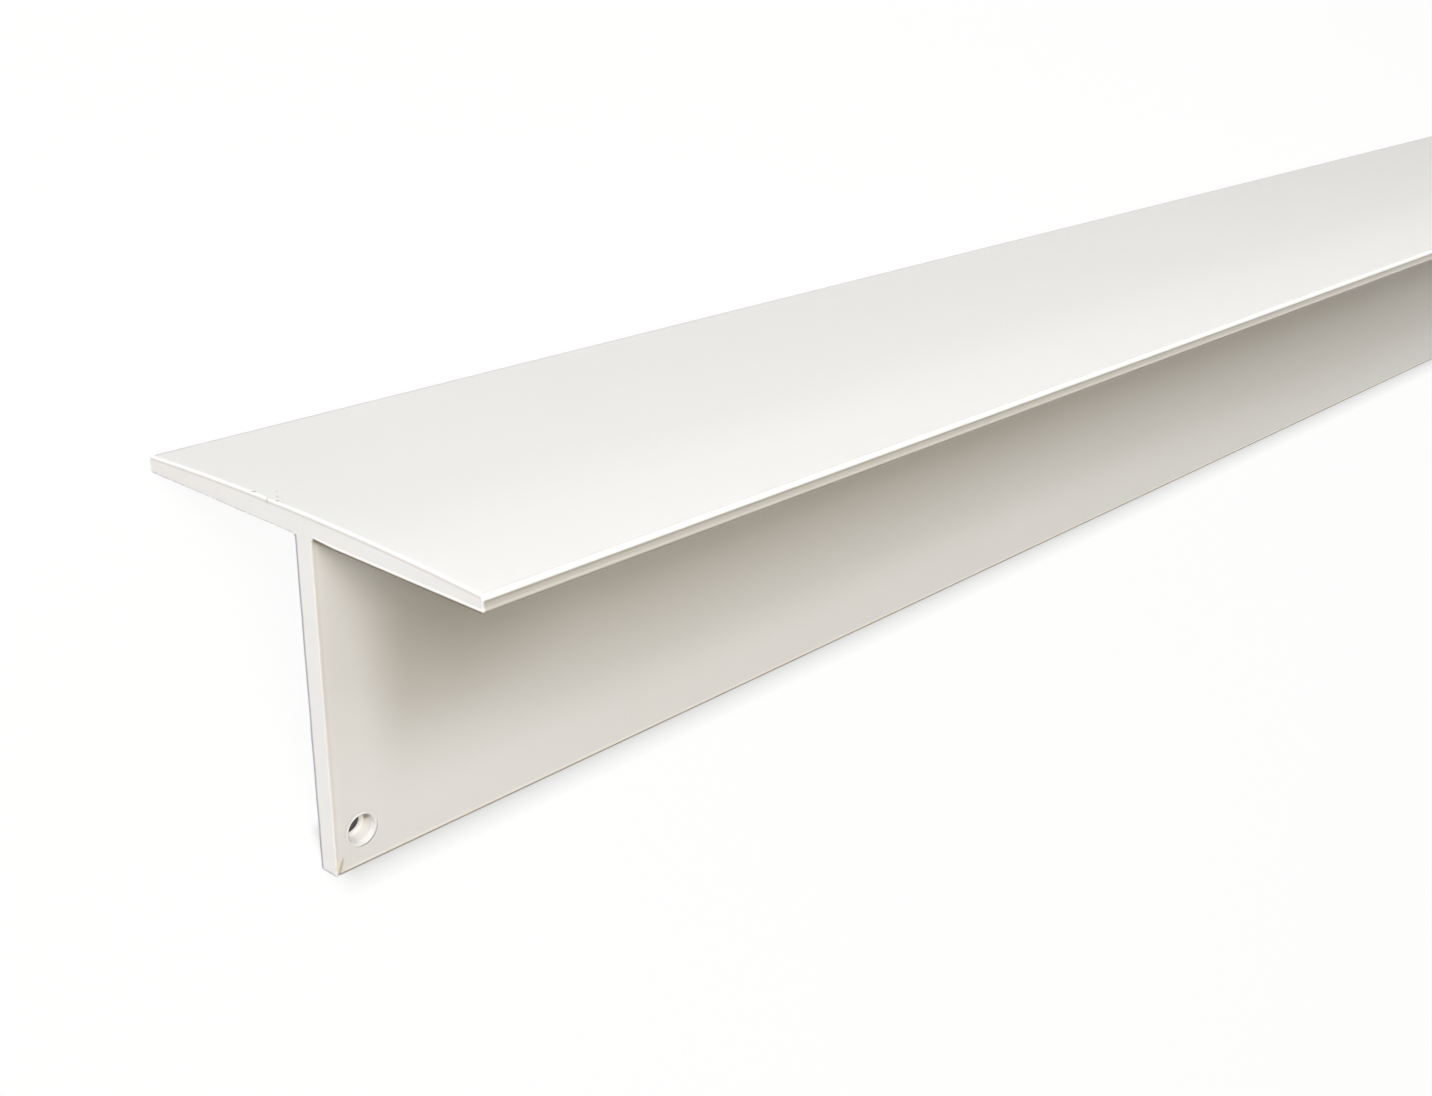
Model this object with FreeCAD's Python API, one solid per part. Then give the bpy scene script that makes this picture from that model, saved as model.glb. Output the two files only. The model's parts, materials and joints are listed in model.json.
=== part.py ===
"""Aluminium tee section: one extruded bar with a flange whose outer face is slightly crowned,
a web under its middle and a drilled hanging hole, stored as it lies on a level floor. Millimetres.

The bar runs along X and the near end, which has the hole, faces -X. The section is drawn as a
letter T in the YZ plane with the foot of the web on z = 0. Set down on that foot the bar tips over,
so it is then leaned towards +Y until it rests on the web's foot and on one tip of the flange.
The origin is under the middle of the bar, on the floor.
"""

import FreeCAD, Part

import math
import os
from FreeCAD import Vector

# Section
flange_width = 40.0
section_height = 30.0
web_thickness = 2.0
flange_thickness = 2.0  # over the web

# How far the flange's outer face falls from the middle to either tip
crown_drop = 0.55

# Rounds of the extruded edges, with the coating on them
tip_top_round = 0.45
tip_under_round = 0.3
foot_round = 0.25
root_round = 0.2

# Length of the bar
bar_length = 1000.0

# Round that the coating leaves on the edges of both sawn ends
sawn_edge_round = 0.15

# Hanging hole, drilled through the web near its lower corner at the near end
hole_diameter = 2.5
hole_from_end = 2.6
hole_from_foot = 3.2
drill_overrun = 1.0

half_flange = flange_width / 2
half_web = web_thickness / 2
flange_underside = section_height - flange_thickness
tip_top = section_height - crown_drop
find_tolerance = 0.001


def section_point(y, z):
    """A point of the section at the near end."""
    return Vector(0, y, z)


def sharp_section():
    """Face of the T with square corners and one arc over the whole width of the flange."""
    left_side = [
        section_point(-half_flange, tip_top),
        section_point(-half_flange, flange_underside),
        section_point(-half_web, flange_underside),
        section_point(-half_web, 0),
    ]
    right_side = [section_point(-point.y, point.z) for point in reversed(left_side)]
    corners = left_side + right_side
    sides = [Part.LineSegment(start, end).toShape() for start, end in zip(corners, corners[1:])]
    crown = Part.Arc(corners[-1], section_point(0, section_height), corners[0]).toShape()
    return Part.Face(Part.Wire(sides + [crown]))


def long_edge(bar, y, z):
    """The edge that runs the bar's whole length through the given place in the section."""
    for edge in bar.Edges:
        middle = edge.BoundBox.Center
        beside = math.hypot(middle.y - y, middle.z - z)
        if beside < find_tolerance and abs(edge.Length - bar_length) < find_tolerance:
            return edge
    raise ValueError(f"no long edge at y {y}, z {z}")


def round_long_edges(bar):
    """Rounds the tips of the flange, the foot of the web and the two inner corners."""
    rounds = [
        (half_flange, tip_top, tip_top_round),
        (half_flange, flange_underside, tip_under_round),
        (half_web, flange_underside, root_round),
        (half_web, 0, foot_round),
    ]
    for y, z, radius in rounds:
        pair = [long_edge(bar, y, z), long_edge(bar, -y, z)]
        bar = bar.makeFillet(radius, pair)
    return bar


def round_sawn_ends(bar):
    """Softens every edge that lies in one of the two end planes."""
    end_edges = [edge for edge in bar.Edges if edge.BoundBox.XLength < find_tolerance]
    return bar.makeFillet(sawn_edge_round, end_edges)


def drill_hanging_hole(bar):
    """One hole straight through the web."""
    entry = Vector(hole_from_end, half_web + drill_overrun, hole_from_foot)
    depth = web_thickness + 2 * drill_overrun
    drill = Part.makeCylinder(hole_diameter / 2, depth, entry, Vector(0, -1, 0))
    return bar.cut(drill)


def resting_lean():
    """Angle in degrees that the bar leans so that the floor touches the round of the web's foot
    and the lower round of the flange's tip on the +Y side."""
    foot_y = half_web - foot_round
    foot_z = foot_round
    tip_y = half_flange - tip_under_round
    tip_z = flange_underside + tip_under_round
    spacing = math.hypot(tip_y - foot_y, tip_z - foot_z)
    slope = math.atan2(tip_z - foot_z, tip_y - foot_y)
    return math.degrees(slope - math.asin((tip_under_round - foot_round) / spacing))


def lay_on_floor(bar):
    """Leans the bar over +Y and centres it over the origin with its lowest line on z = 0."""
    bar = bar.copy()
    bar.rotate(Vector(0, 0, 0), Vector(1, 0, 0), -resting_lean())
    box = bar.optimalBoundingBox(False)
    bar.translate(Vector(-box.Center.x, -box.Center.y, -box.ZMin))
    return bar


def tee_section():
    """The finished bar as it is stored."""
    bar = sharp_section().extrude(Vector(bar_length, 0, 0))
    bar = round_long_edges(bar)
    bar = round_sawn_ends(bar)
    bar = drill_hanging_hole(bar)
    return lay_on_floor(bar)


os.makedirs("parts", exist_ok=True)
tee = tee_section()
tee.exportStep("parts/tee_section.step")
box = tee.optimalBoundingBox(False)
print(f"tee_section: valid {tee.isValid()}, solids {len(tee.Solids)}, volume {tee.Volume:.1f} mm3")
print(f"lean {resting_lean():.4f} degrees, box {box.XLength:.3f} x {box.YLength:.3f} x {box.ZLength:.3f} mm")
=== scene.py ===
import json
import math

import bmesh
import bpy
import numpy as np
from bpy.props import FloatProperty, FloatVectorProperty, IntProperty, PointerProperty
from mathutils import Matrix, Vector


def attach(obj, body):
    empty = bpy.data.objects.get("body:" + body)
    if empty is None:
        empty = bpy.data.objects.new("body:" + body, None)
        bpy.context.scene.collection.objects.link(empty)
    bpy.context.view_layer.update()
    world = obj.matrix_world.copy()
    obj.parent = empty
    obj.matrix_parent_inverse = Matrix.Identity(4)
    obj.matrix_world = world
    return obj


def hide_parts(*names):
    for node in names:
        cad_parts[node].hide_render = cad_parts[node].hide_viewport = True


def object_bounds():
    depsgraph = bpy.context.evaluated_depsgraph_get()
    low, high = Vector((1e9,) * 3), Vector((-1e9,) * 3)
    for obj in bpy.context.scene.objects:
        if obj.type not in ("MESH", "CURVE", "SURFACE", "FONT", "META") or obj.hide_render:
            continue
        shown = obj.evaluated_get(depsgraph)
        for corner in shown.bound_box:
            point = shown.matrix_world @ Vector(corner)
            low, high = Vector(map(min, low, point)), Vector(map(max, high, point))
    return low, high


bl_info = {
    "name": "Tee section",
    "version": (1, 0, 0),
    "blender": (4, 5, 0),
    "location": "3D View > Sidebar > Tee section",
    "description": "A coated aluminium tee bar with sawn ends and a hanging hole, on a white table",
    "category": "Object",
}

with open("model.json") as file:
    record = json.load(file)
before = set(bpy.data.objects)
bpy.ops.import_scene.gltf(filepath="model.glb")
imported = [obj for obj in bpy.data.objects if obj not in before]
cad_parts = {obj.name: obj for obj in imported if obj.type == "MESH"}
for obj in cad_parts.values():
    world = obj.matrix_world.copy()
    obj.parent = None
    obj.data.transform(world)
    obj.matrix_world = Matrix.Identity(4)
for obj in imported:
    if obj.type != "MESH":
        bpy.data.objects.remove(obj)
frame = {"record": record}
cad_low, cad_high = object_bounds()

CAD_NODE = "tee_section"
HOLE_MOUNT = "hanging_hole"
MM = 0.001
QUARTER_TURN = math.pi / 2


def stated_mount(name):
    for mount in frame["record"]["mounts"]:
        if mount["name"] == name:
            return mount
    raise ValueError(f"the record has no mount named {name}")


def stated_place(name):
    """A mount of the record, as its place and its direction."""
    mount = stated_mount(name)
    return Vector(mount["pos_m"]), Vector(mount["axis"]).normalized()


def section_axes():
    """Where the section's own axes lie in the row frame: along the bar, across the flange and up
    the web, and the point under the middle of the web's foot at the near end."""
    bar = bpy.context.scene.tee_bar
    upper_face, upper_normal = stated_place("web_upper_face")
    lower_face, _ = stated_place("web_lower_face")
    seat, seat_normal = stated_place("upper_flange_seat")
    along = Vector((1, 0, 0))
    across = -upper_normal
    up = -seat_normal
    web_middle = (upper_face + lower_face) / 2
    underside = (seat - web_middle).dot(up)
    foot = web_middle + up * (underside - (bar.section_height - bar.flange_thickness))
    foot.x = cad_low.x
    return along, across, up, foot


def bar_turn():
    """The turn from the bar's own axes to the row frame."""
    return Matrix(section_axes()[:3]).transposed()


class TeeBarSizes(bpy.types.PropertyGroup):
    """Sizes of the bar."""

    flange_width: FloatProperty(
        name="Flange width", description="Across the flange, tip to tip", default=0.04, unit="LENGTH"
    )
    section_height: FloatProperty(
        name="Section height", description="From the web's foot to the middle of the crown", default=0.03,
        unit="LENGTH",
    )
    web_thickness: FloatProperty(
        name="Web thickness", description="Thickness of the web", default=0.002, unit="LENGTH"
    )
    flange_thickness: FloatProperty(
        name="Flange thickness", description="Thickness of the flange over the web", default=0.002,
        unit="LENGTH",
    )
    crown_drop: FloatProperty(
        name="Crown drop", description="How far the outer face falls from its middle to a tip",
        default=0.00055, unit="LENGTH",
    )
    tip_top_round: FloatProperty(
        name="Upper tip round", description="Round of the tip next to the outer face", default=0.00045,
        unit="LENGTH",
    )
    tip_under_round: FloatProperty(
        name="Lower tip round", description="Round of the tip next to the underside", default=0.0003,
        unit="LENGTH",
    )
    foot_round: FloatProperty(
        name="Foot round", description="Rounds of the web's foot", default=0.00029, unit="LENGTH"
    )
    root_round: FloatProperty(
        name="Root round", description="Hollow rounds between web and flange", default=0.0002,
        unit="LENGTH",
    )
    sawn_edge_round: FloatProperty(
        name="Sawn edge round", description="Depth of the coat's bead over the edges of a sawn end",
        default=0.00017, unit="LENGTH",
    )
    bead_length: FloatProperty(
        name="Bead length", description="How far that bead reaches along the bar", default=0.00026,
        unit="LENGTH",
    )
    bead_wrap: FloatProperty(
        name="Bead wrap", description="How far the bead turns back over the sawn face",
        default=math.radians(40), subtype="ANGLE",
    )
    bead_valley: FloatProperty(
        name="Bead valley", description="How far the coat sinks behind the bead", default=0.00002,
        unit="LENGTH",
    )
    burr_height: FloatProperty(
        name="Burr height", description="Depth of the waves that sawing left in the end's edges",
        default=0.00003, unit="LENGTH",
    )
    rim_round: FloatProperty(
        name="Hole rim round", description="Round of the coat over the hole's near rim",
        default=0.00023, unit="LENGTH",
    )
    coat_in_hole: FloatProperty(
        name="Coat in the hole", description="Thickness of the coat on the hole's wall", default=0.00007,
        unit="LENGTH",
    )
    far_rim_bead: FloatProperty(
        name="Far rim bead", description="Height of the coat's bead inside the hole's far rim",
        default=0.00022, unit="LENGTH",
    )
    round_steps: IntProperty(
        name="Round steps", description="Faces over the round of a sawn edge", default=7, min=3
    )
    stations: IntProperty(
        name="Stations", description="Cross sections between the two ends", default=118, min=20
    )


class TeeCoatLook(bpy.types.PropertyGroup):
    """Look of the coat."""

    colour: FloatVectorProperty(
        name="Coat colour", description="Colour of the clean coat", subtype="COLOR", size=3,
        default=(0.80, 0.795, 0.785), min=0, max=1,
    )
    roughness: FloatProperty(
        name="Roughness", description="Mean roughness of the satin coat", default=0.4, min=0, max=1,
        subtype="FACTOR",
    )
    peel: FloatProperty(
        name="Orange peel", description="Height of the coat's fine waves", default=0.0000022,
        unit="LENGTH", precision=6,
    )


class TeeStageLook(bpy.types.PropertyGroup):
    """Camera and light."""

    focal_length: FloatProperty(
        name="Focal length", description="Focal length in millimetres on a sensor 36 wide", default=45.585
    )
    camera_azimuth: FloatProperty(
        name="Camera azimuth", description="Heading of the view, from the bar's direction over the flange",
        default=math.radians(38.543), subtype="ANGLE",
    )
    camera_elevation: FloatProperty(
        name="Camera elevation", description="How steeply the view looks down on the flange",
        default=math.radians(20.906), subtype="ANGLE",
    )
    camera_roll: FloatProperty(
        name="Camera roll", description="Turn of the picture", default=math.radians(2.125), subtype="ANGLE"
    )
    camera_place: FloatVectorProperty(
        name="Camera place", description="Along the bar, across it and up from the foot of its near end",
        default=(-0.069766, -0.106799, 0.077074), size=3, subtype="XYZ", unit="LENGTH",
    )
    table_white: FloatProperty(
        name="Table white", description="Share of the table's colour that light doesn't change",
        default=0.93, min=0, max=1, subtype="FACTOR",
    )
    room_light: FloatProperty(
        name="Room light", description="Strength of the even light from all round", default=0.01, min=0
    )


class Sum:
    """A node's output that can be used in a sum. Each operation adds its Math node."""

    def __init__(self, plan, socket):
        self.plan = plan
        self.socket = socket

    def __add__(self, other):
        return self.plan.maths("ADD", self, other)

    __radd__ = __add__

    def __sub__(self, other):
        return self.plan.maths("SUBTRACT", self, other)

    def __rsub__(self, other):
        return self.plan.maths("SUBTRACT", other, self)

    def __mul__(self, other):
        return self.plan.maths("MULTIPLY", self, other)

    __rmul__ = __mul__

    def __truediv__(self, other):
        return self.plan.maths("DIVIDE", self, other)

    def __pow__(self, other):
        return self.plan.maths("POWER", self, other)

    def __abs__(self):
        return self.plan.maths("ABSOLUTE", self)


class Plan:
    """Adds nodes to one tree."""

    def __init__(self, tree):
        self.tree = tree

    def node(self, kind, settings=None, inputs=None):
        """One node: its settings come first, and then values or links for its sockets."""
        made = self.tree.nodes.new(kind)
        for name, value in (settings or {}).items():
            setattr(made, name, value)
        for name, value in (inputs or {}).items():
            socket = made.inputs[name]
            if isinstance(value, Sum):
                self.tree.links.new(value.socket, socket)
            else:
                socket.default_value = value
        return made

    def out(self, made, name=0):
        return Sum(self, made.outputs[name])

    def maths(self, operation, first, second=0.0, clamp=False):
        made = self.node(
            "ShaderNodeMath", {"operation": operation, "use_clamp": clamp}, {0: first, 1: second}
        )
        return self.out(made)

    def clamped(self, value):
        return self.maths("ADD", value, 0.0, clamp=True)

    def least(self, *values):
        smallest = values[0]
        for value in values[1:]:
            smallest = self.maths("MINIMUM", smallest, value)
        return smallest

    def most(self, *values):
        largest = values[0]
        for value in values[1:]:
            largest = self.maths("MAXIMUM", largest, value)
        return largest

    def ramp(self, value, low, high):
        """0 up to low, 1 from high, with a smooth step between."""
        made = self.node(
            "ShaderNodeMapRange",
            {"interpolation_type": "SMOOTHSTEP"},
            {"Value": value, "From Min": low, "From Max": high},
        )
        return self.out(made, "Result")

    def fade(self, value, low, high):
        """1 up to low, 0 from high, with a smooth step between."""
        return 1 - self.ramp(value, low, high)

    def band(self, value, rise_low, rise_high, fall_low, fall_high):
        """1 between two smooth steps, 0 outside them."""
        return self.ramp(value, rise_low, rise_high) * self.fade(value, fall_low, fall_high)

    def vector_maths(self, operation, first, second=None, scale=None):
        inputs = {0: first}
        if second is not None:
            inputs[1] = second
        if scale is not None:
            inputs["Scale"] = scale
        made = self.node("ShaderNodeVectorMath", {"operation": operation}, inputs)
        return self.out(made, "Value" if operation == "DISTANCE" else "Vector")

    def parts(self, vector):
        made = self.node("ShaderNodeSeparateXYZ", inputs={0: vector})
        return [self.out(made, axis) for axis in "XYZ"]

    def joined(self, x, y, z):
        return self.out(self.node("ShaderNodeCombineXYZ", inputs={"X": x, "Y": y, "Z": z}))

    def noise(self, place, scale, detail=2.0, seed=0.0, roughness=0.5):
        made = self.node(
            "ShaderNodeTexNoise",
            {"noise_dimensions": "4D"},
            {"Vector": place, "W": seed, "Scale": scale, "Detail": detail, "Roughness": roughness},
        )
        return self.out(made, "Fac")

    def tint(self, factor, first, second):
        """A colour between two colours."""
        made = self.node(
            "ShaderNodeMix", {"data_type": "RGBA"}, {0: factor, 6: first, 7: second}
        )
        return self.out(made, 2)


def fresh_plan(owner):
    """An empty tree of a material or a world."""
    owner.use_nodes = True
    owner.node_tree.nodes.clear()
    return Plan(owner.node_tree)


def linked(name, data):
    """A new object in the scene."""
    made = bpy.data.objects.new(name, data)
    bpy.context.scene.collection.objects.link(made)
    return made


# Spacing of the outline's points on its straight stretches, in millimetres
FOOT_SPACING = 0.25
CORNER_SPACING = 0.13
WEB_SPACING = 0.3
UNDERSIDE_SPACING = 0.5
TIP_FACE_SPACING = 0.12
CROWN_SPACING = 0.4

# Points on its rounds
FOOT_STEPS = 7
ROOT_STEPS = 6
LOWER_TIP_STEPS = 8
UPPER_TIP_STEPS = 11

# Height up to which the web's corner is fine enough for its dents, in millimetres
CORNER_HEIGHT = 5.2

# How far the two beads along a tip wrap past level over its face, in degrees
UPPER_BEAD_WRAP = 32
LOWER_BEAD_WRAP = 18


def arc(centre, radius, start, end, steps, hollow=False):
    """Points of an arc in the section with the direction that points out of the metal."""
    points = []
    for step in range(steps + 1):
        angle = math.radians(start + (end - start) * step / steps)
        spoke = (math.cos(angle), math.sin(angle))
        outward = (-spoke[0], -spoke[1]) if hollow else spoke
        points.append((centre[0] + radius * spoke[0], centre[1] + radius * spoke[1], *outward))
    return points


def straight(start, end, spacing, outward):
    """Points between two places of the section, without the places themselves."""
    steps = max(1, round(math.dist(start, end) / (spacing * MM)))
    points = []
    for step in range(1, steps):
        share = step / steps
        points.append(
            (start[0] + (end[0] - start[0]) * share, start[1] + (end[1] - start[1]) * share, *outward)
        )
    return points


def crease(place, before, after):
    """The point where a bead ends and the flat beside it starts."""
    direction = Vector((before[0] + after[0], before[1] + after[1])).normalized()
    return [(place[0], place[1], direction.x, direction.y)]


def half_outline(bar):
    """Right half of the section, from the middle of the web's foot to the middle of the crown."""
    half_flange = bar.flange_width / 2
    half_web = bar.web_thickness / 2
    underside = bar.section_height - bar.flange_thickness
    foot, root, under, top = bar.foot_round, bar.root_round, bar.tip_under_round, bar.tip_top_round
    outwards, downwards = (1, 0), (0, -1)

    points = [(0, 0, *downwards)]
    points += straight((0, 0), (half_web - foot, 0), FOOT_SPACING, downwards)
    points += arc((half_web - foot, foot), foot, -90, 0, FOOT_STEPS)
    corner_top = CORNER_HEIGHT * MM
    points += straight((half_web, foot), (half_web, corner_top), CORNER_SPACING, outwards)
    points += [(half_web, corner_top, *outwards)]
    points += straight((half_web, corner_top), (half_web, underside - root), WEB_SPACING, outwards)
    points += arc((half_web + root, underside - root), root, 180, 90, ROOT_STEPS, hollow=True)
    points += straight(
        (half_web + root, underside), (half_flange - under, underside), UNDERSIDE_SPACING, downwards
    )

    points += arc((half_flange - under, underside + under), under, -90, LOWER_BEAD_WRAP, LOWER_TIP_STEPS)
    lip_end = points[-1]
    crown_radius = (half_flange**2 + bar.crown_drop**2) / (2 * bar.crown_drop)
    crown_centre = bar.section_height - crown_radius
    tip_y = half_flange - top
    tip_z = crown_centre + math.sqrt((crown_radius - top) ** 2 - tip_y**2)
    crown_edge = math.degrees(math.atan2(tip_z - crown_centre, tip_y))
    bead = arc((tip_y, tip_z), top, -UPPER_BEAD_WRAP, crown_edge, UPPER_TIP_STEPS)
    face_y = min(lip_end[0], bead[0][0])
    points[-1:] = crease((face_y, lip_end[1]), outwards, lip_end[2:])
    points += straight((face_y, lip_end[1]), (face_y, bead[0][1]), TIP_FACE_SPACING, outwards)
    points += crease((face_y, bead[0][1]), outwards, bead[0][2:])
    points += bead[1:]
    crown_steps = round(math.radians(90 - crown_edge) * crown_radius / (CROWN_SPACING * MM))
    points += arc((0, crown_centre), crown_radius, crown_edge, 90, crown_steps)[1:]
    return points


def whole_outline(bar):
    """Closed outline, counter-clockwise."""
    right = half_outline(bar)
    left = [(-y, z, -out_y, out_z) for y, z, out_y, out_z in reversed(right[1:-1])]
    return right + left


def outline_object(bar):
    """The outline as a ring of edges that carries the outward directions."""
    points = whole_outline(bar)
    count = len(points)
    edges = [(i, (i + 1) % count) for i in range(count)]
    mesh = bpy.data.meshes.new("tee_outline")
    mesh.from_pydata([(y, z, 0) for y, z, _, _ in points], edges, [])
    outward = mesh.attributes.new("outward", "FLOAT_VECTOR", "POINT")
    outward.data.foreach_set("vector", [c for _, _, y, z in points for c in (y, z, 0)])
    return linked("tee_outline", mesh)


# Named inputs of the tree that sweeps the bar
BAR_INPUTS = {
    "Outline": "Geometry",
    "Length": "Float",
    "Bead Depth": "Float",
    "Bead Length": "Float",
    "Bead Wrap": "Float",
    "Bead Valley": "Float",
    "Thin Bead Height": "Float",
    "Full Bead Height": "Float",
    "Round Steps": "Int",
    "Stations": "Int",
    "Burr Height": "Float",
    "Seed": "Float",
    "Coat": "Material",
}

# How full the bead is on the web and on the flange's top, and where it grows from the one to the
# other, in flange thicknesses below the middle of the crown
WEB_BEAD_FULLNESS = 0.5
TOP_BEAD_FULLNESS = 0.65
BEAD_GROWS_FROM = 0.7
BEAD_FULL_AT = 0.35

# Where the coat sinks and rises again behind the bead, in bead lengths from the end
VALLEY_FALL = (0.9, 1.6)
VALLEY_RISE = (1.7, 3.6)

# Share of the cross sections that are evenly spaced. The others crowd towards the near end
EVEN_SHARE = 0.008

# Waves over the sawn edges and dents in the sawn face
SAWN_REACH = 0.6 * MM
WAVE_SCALE = 1.1
WAVE_DETAIL = 3.0
WAVE_ROUGHNESS = 0.65
WAVE_GAIN = 2.2
WAVE_FLOOR = 0.6
DENT_SCALE = 0.45
DENT_GAIN = 2.6
DENT_FLOOR = 0.9
SAWING_SEED = 4.0
DENT_SEED_STEP = 7


def bar_tree():
    """Runs the outline along the bar. The first and last few cross sections draw the coat's bead
    over the sawn edges, and those between crowd towards the near end."""
    tree = bpy.data.node_groups.new("tee_bar_tree", "GeometryNodeTree")
    for name, kind in BAR_INPUTS.items():
        tree.interface.new_socket(name=name, in_out="INPUT", socket_type=f"NodeSocket{kind}")
    tree.interface.new_socket(name="Bar", in_out="OUTPUT", socket_type="NodeSocketGeometry")
    plan = Plan(tree)
    group_input = plan.node("NodeGroupInput")
    given = {name: plan.out(group_input, name) for name in BAR_INPUTS}
    length, wrap = given["Length"], given["Bead Wrap"]
    steps, stations = given["Round Steps"], given["Stations"]

    def made(kind, inputs, settings=None):
        return plan.out(plan.node(kind, settings, inputs))

    def store(geometry, name, kind, value):
        return made(
            "GeometryNodeStoreNamedAttribute",
            {"Geometry": geometry, "Name": name, "Value": value},
            {"data_type": kind, "domain": "POINT"},
        )

    def stored(name, kind):
        return made("GeometryNodeInputNamedAttribute", {"Name": name}, {"data_type": kind})

    ring = made("GeometryNodeMeshToCurve", {"Mesh": given["Outline"]})
    ring = store(ring, "place", "FLOAT_VECTOR", made("GeometryNodeInputPosition", {}))
    rail = made("GeometryNodeCurvePrimitiveLine", {"Start": (0, 0, 0), "End": (1, 0, 0)})
    last = stations + steps * 2
    rail = made("GeometryNodeResampleCurve", {"Curve": rail, "Count": last + 1}, {"mode": "COUNT"})
    rail = store(rail, "station", "FLOAT", made("GeometryNodeInputIndex", {}))
    swept = made("GeometryNodeCurveToMesh", {"Curve": rail, "Profile Curve": ring, "Fill Caps": True})

    station = stored("station", "FLOAT")
    place, outward = stored("place", "FLOAT_VECTOR"), stored("outward", "FLOAT_VECTOR")
    near_turn = plan.clamped(station / steps) * (wrap + QUARTER_TURN) - wrap
    far_turn = plan.clamped((last - station) / steps) * (wrap + QUARTER_TURN) - wrap
    near_cos, far_cos = plan.maths("COSINE", near_turn), plan.maths("COSINE", far_turn)
    y, z, _ = plan.parts(place)
    top_share = plan.ramp(z, given["Thin Bead Height"], given["Full Bead Height"])
    fullness = top_share * (TOP_BEAD_FULLNESS - WEB_BEAD_FULLNESS) + WEB_BEAD_FULLNESS
    depth, reach = given["Bead Depth"] * fullness, given["Bead Length"] * fullness
    near_inset = (1 - plan.maths("SINE", near_turn)) * depth
    far_inset = (1 - plan.maths("SINE", far_turn)) * depth
    share = plan.clamped((station - steps) / stations)
    crowded = share * EVEN_SHARE + (share**3.0) * (1 - EVEN_SHARE)
    along = (1 - near_cos) * reach + (length - reach * 2) * crowded + far_cos * reach
    from_end = plan.least(along, length - along)
    valley_limits = [reach * limit for limit in VALLEY_FALL + VALLEY_RISE]
    inset = near_inset + far_inset + plan.band(from_end, *valley_limits) * given["Bead Valley"]

    sawn = plan.fade(from_end, 0.0, SAWN_REACH)
    spot = plan.joined(along * (1 / MM), y * (1 / MM), z * (1 / MM))
    waves = plan.noise(spot, WAVE_SCALE, WAVE_DETAIL, given["Seed"], WAVE_ROUGHNESS)
    dents = plan.noise(spot, DENT_SCALE, seed=given["Seed"] + DENT_SEED_STEP)
    wave_depth = plan.clamped(waves * WAVE_GAIN - WAVE_FLOOR) * given["Burr Height"] * sawn
    end_depth = plan.clamped(dents * DENT_GAIN - DENT_FLOOR) * given["Burr Height"] * sawn
    inward = plan.vector_maths("SCALE", outward, scale=inset + wave_depth)
    in_y, in_z, _ = plan.parts(plan.vector_maths("SUBTRACT", place, inward))
    towards_middle = plan.maths("SIGN", length * 0.5 - along)
    placed = plan.joined(along + end_depth * towards_middle, in_y, in_z)
    swept = made("GeometryNodeSetPosition", {"Geometry": swept, "Position": placed})
    swept = made("GeometryNodeSetShadeSmooth", {0: swept, "Shade Smooth": True})
    swept = made("GeometryNodeRealizeInstances", {0: swept})
    coated = made("GeometryNodeSetMaterial", {"Geometry": swept, "Material": given["Coat"]})
    plan.node("NodeGroupOutput", inputs={"Bar": coated})
    return tree


def set_inputs(modifier, values):
    """Gives a modifier its tree's inputs by the identifiers of their sockets."""
    for item in modifier.node_group.interface.items_tree:
        if item.item_type == "SOCKET" and item.in_out == "INPUT" and item.name in values:
            modifier[item.identifier] = values[item.name]


def plain_mesh(made, name):
    """The evaluated object as a mesh of its own."""
    made.update_tag()
    bpy.context.view_layer.update()
    evaluated = made.evaluated_get(bpy.context.evaluated_depsgraph_get())
    mesh = bpy.data.meshes.new_from_object(evaluated)
    mesh.name = name
    return mesh


def remove(made):
    """Deletes an object that only helped, with its mesh."""
    mesh = made.data
    bpy.data.objects.remove(made)
    bpy.data.meshes.remove(mesh)


def swept_bar(bar, material):
    """The bar in its own axes, without its hole."""
    outline = outline_object(bar)
    modifier = outline.modifiers.new("sweep", "NODES")
    modifier.node_group = bar_tree()
    set_inputs(
        modifier,
        {
            "Length": cad_high.x - cad_low.x,
            "Bead Depth": bar.sawn_edge_round,
            "Bead Length": bar.bead_length,
            "Bead Wrap": bar.bead_wrap,
            "Bead Valley": bar.bead_valley,
            "Thin Bead Height": bar.section_height - bar.flange_thickness * BEAD_GROWS_FROM,
            "Full Bead Height": bar.section_height - bar.flange_thickness * BEAD_FULL_AT,
            "Round Steps": bar.round_steps,
            "Stations": bar.stations,
            "Burr Height": bar.burr_height,
            "Seed": SAWING_SEED,
            "Coat": material,
        },
    )
    mesh = plain_mesh(outline, "tee_bar")
    outline.modifiers.remove(modifier)
    remove(outline)
    for name in ("place", "outward", "station"):
        if name in mesh.attributes:
            mesh.attributes.remove(mesh.attributes[name])
    return mesh


# The torn sliver of coat at the foot's near corner and the groove beside it, in millimetres. Both
# start at the corner and run up the face at a slant
CORNER_REACH_ALONG = 3
CORNER_REACH_UP = 6
FACE_DEPTH = 0.3
SLIVER_START = 0.11
SLIVER_SLANT = 0.38
SLIVER_WIDTH = 0.075
SLIVER_HEIGHT = 0.1
SLIVER_FOOT = (0, 0.25)
SLIVER_END = (0.85, 1.75)
GROOVE_BESIDE = -0.17
GROOVE_WIDTH = 0.09
GROOVE_DEPTH = 0.07
GROOVE_FOOT = (0, 0.4)
GROOVE_END = (1.0, 1.6)

# Notches in the edge above it: height over the foot, width and depth in millimetres
EDGE_NOTCHES = ((1.6, 0.25, 0.09), (3.18, 0.16, 0.06), (0.75, 0.12, 0.05))
NOTCH_REACH = (0, 0.45)
NOTCH_SLANT = 0.6


def hump(values, centre, width):
    """A smooth hump of height 1."""
    return np.exp(-(((values - centre) / width) ** 2))


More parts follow.
